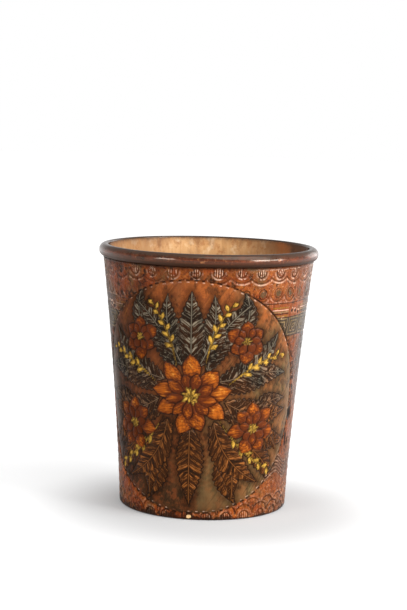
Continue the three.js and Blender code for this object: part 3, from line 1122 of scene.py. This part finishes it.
def bareWoodMaterial(name, grainStretch, spotting):
    # Turned wood left bare: dry and pale, with faint grain, tan and bleached spots, brown drips, darker in the
    # corner round the bottom and towards the left, with painted shade over the right side of the mouth and a
    # painted shadow at its far right, and dirt at the rim. The grain runs along the axis that grainStretch
    # scales down: up the wall, and across the bottom, which is less spotted.
    material, add, product, layered = newMaterial(name, bareColours)
    size = barePatterns
    place = add("VectorMath.SCALE", add("TexCoord").node.outputs["Object"], 1 / mm)
    x, _, z = add("SeparateXYZ", place).node.outputs
    stretched = add("VectorMath.MULTIPLY", place, grainStretch)
    tall = add("VectorMath.MULTIPLY", place, (1.0, 1.0, 0.35))
    shifted = add("VectorMath.ADD", place, (9.0, 4.0, 0.0))
    level = add("VectorMath.MULTIPLY", place, (1.0, 1.0, 0.0))
    grain = add("TexNoise", stretched, 0.9, 4.0, 0.65)
    drips = add("TexNoise", tall, 1 / size["drip"], 4.0, 0.65)
    blotch = add("TexNoise", place, 1 / size["blotch"], 3.0, 0.55)
    spots = add("TexNoise", place, 1 / size["spot"], 4.0, 0.7)
    clean = add("TexNoise", shifted, 1 / size["clean"], 3.0, 0.6)

    # Where the stains and the painted shade lie, by ragged heights, by distance from the axis and by the way
    # across
    upper = add("Math.MULTIPLY_ADD", drips, 12.0, z)
    top = add("Math.MULTIPLY_ADD", grain, 3.0, z)
    reach = add("VectorMath.LENGTH", level).node.outputs["Value"]
    reach = add("Math.MULTIPLY_ADD", spots, 8.0, reach)
    # darker in the corner round the bottom
    darkCorner = product((reach, 33.0, 40.0), (z, 11.0, 6.0, 0.0, 0.6))
    aside = add("Math.MULTIPLY_ADD", blotch, 30.0, x)
    # painted shade: darker over the right of the mouth, towards the top
    paintedShadeRight = product((aside, 26.0, 62.0), (z, 109.0, 117.0, 0.55, 1.1))
    # a ragged distance across to the right, for the rust and the painted shadow
    raggedAcross = add("Math.MULTIPLY_ADD", spots, 9.0, x)
    raggedAcross = add("Math.MULTIPLY_ADD", z, 0.25, raggedAcross)
    rust = product((raggedAcross, 62.5, 68.5), (clean, 0.4, 0.55, 0.2, 0.65))
    colour = layered(
        "warm",
        ((grain, 0.3, 0.7, 0.2, 1.0), "pale"),
        ((spots, 0.52, 0.64, 0.0, 0.65 * spotting), "spot"),
        ((clean, 0.54, 0.66, 0.0, 0.7 * spotting), "bleached"),
        ((drips, 0.54, 0.72, 0.0, 0.5), "stain"),
        ((upper, 121.5, 127.0, 0.0, 0.75), "stain"),
        (darkCorner, "stain"),
        # darker towards the left of the inside
        ((aside, 2.0, -28.0, 0.0, 0.65), "stain"),
        (paintedShadeRight, "stain"),
        (rust, "rust"),
        # painted shadow at the far right of the inside
        ((raggedAcross, 69.5, 73.5, 0.0, 0.65), "soil"),
        ((top, 119.8, 121.2, 0.0, 0.7), "soil"),
    )
    relief = product(grain, 0.06)
    bump = add("Bump", named={"Strength": 1.0, "Distance": mm, "Height": relief})
    shader = add("BsdfPrincipled", named={
        "Base Color": colour, "Roughness": add("MapRange", grain, 0.3, 0.7, 0.7, 0.55), "IOR": 1.5,
        "Specular IOR Level": 0.3, "Normal": bump,
    })
    add("OutputMaterial", shader)
    return material


lacquerColours = {
    "face": "#71331a",
    # the underside's colour, there as painted shade, and dark specks
    "dark": "#2e160c",
    # the crest's grey-brown: dulled lacquer, with a painted reflection of the room
    "crest": "#44342a",
    "bare": "#c07a44",
    "filmTint": "#ffd8b0",
}
lacquerPatterns = {"cloud": 6.0, "fine": 1.2, "blotch": 3.0}  # mm across the largest features


def lacquerMaterial():
    # Dark brown lacquer rubbed on the spinning ring: deep red-brown on the face, near black on the underside
    # as painted shade, darker and greyer on the crest, partly where hands and lips have dulled it and partly
    # as a painted reflection, with fine scratches round it and orange wood in the chips
    material, add, product, layered = newMaterial("darkRubbedLacquer", lacquerColours)
    size = lacquerPatterns
    worn = add("SeparateXYZ", add("Attribute", attribute_name="hand").node.outputs["Vector"])
    place = add("VectorMath.SCALE", add("TexCoord").node.outputs["Object"], 1 / mm)
    height = add("SeparateXYZ", place).node.outputs["Z"]
    scratched = add("VectorMath.MULTIPLY", place, (0.15, 0.15, 3.0))
    rounded = add("VectorMath.MULTIPLY", place, (0.03, 0.03, 1.0))
    flat = add("VectorMath.MULTIPLY", place, (1.0, 1.0, 2.0))
    cloud = add("TexNoise", place, 1 / size["cloud"], 4.0, 0.65)
    fine = add("TexNoise", place, 1 / size["fine"], 3.0, 0.6)
    scratches = add("TexNoise", scratched, 1.0, 3.0, 0.6)
    bands = add("TexNoise", rounded, 0.9, 3.0, 0.6)
    blotch = add("TexNoise", flat, 1 / size["blotch"], 4.0, 0.65)

    # The face shows between the underside and the crest; the underside keeps the dark colour as painted shade
    # painted shade: under is 0 on the underside, which keeps the dark colour
    under = add("MapRange", height, 115.5, 117.2, 0.0, 1.0)
    over = add("MapRange", height, 119.7, 119.2, 0.3, 1.0)
    face = product((add("Math.MULTIPLY_ADD", bands, 0.9, cloud), 0.75, 1.1), product(under, over))
    rubbed = product((fine, 0.6, 0.7, 0.0, 0.35), under)
    # the crest: dulled lacquer, greyed as a painted reflection
    crest = product((add("Math.MULTIPLY_ADD", cloud, 1.5, height), 118.5, 119.5),
                    (blotch, 0.42, 0.6, 0.62, 1.0))
    chipped = product(worn, (fine, 0.3, 0.55))
    colour = layered("dark", (face, "face"), ((fine, 0.43, 0.32, 0.0, 0.75), "dark"), (rubbed, "bare"),
                     (crest, "crest"), (chipped, "bare"))
    rough = add("MapRange", add("Math.MULTIPLY_ADD", crest, 0.5, cloud), 0.35, 1.0, 0.15, 0.36)
    rough = add("Math.ADD", rough, add("MapRange", under, 0.0, 1.0, 0.35, 0.0))
    relief = product(fine, 0.015)
    relief = add("Math.MULTIPLY_ADD", scratches, 0.022, relief)
    bump = add("Bump", named={"Strength": 1.0, "Distance": mm, "Height": relief})
    shader = add("BsdfPrincipled", named={
        "Base Color": colour, "Roughness": rough, "IOR": 1.5,
        "Specular IOR Level": 0.35, "Specular Tint": linear(lacquerColours["filmTint"]), "Normal": bump,
        "Coat Weight": add("MapRange", under, 0.0, 1.0, 0.0, 0.4), "Coat Roughness": 0.12,
    })
    add("OutputMaterial", shader)
    return material


bpy.context.scene.view_settings.view_transform = "Standard"
placeCamera(cameraFit)
makeSurround()
makeFloor()
for name, shape in lamps.items():
    placeLamp(name, shape)
print("camera, floor and lights placed")

wall = makeWall()
wall.data.materials.append(burntWoodMaterial())
wall.data.materials.append(bareWoodMaterial("bareTurnedWood", (1.0, 1.0, 0.12), 1.0))
ring = makeRing()
ring.data.materials.append(lacquerMaterial())
bottom = makeBottom()
bottom.data.materials.append(bareWoodMaterial("bareSawnWood", (0.03, 0.45, 0.45), 0.35))
for piece, node, slot in ((wall, "wall", "tooled_wood"), (ring, "rim_ring", "dark_lacquered_wood"),
                          (bottom, "base_disc", "bare_wood")):
    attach(piece, "root")
    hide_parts(node)
    print(piece.name, len(piece.data.vertices), "points")
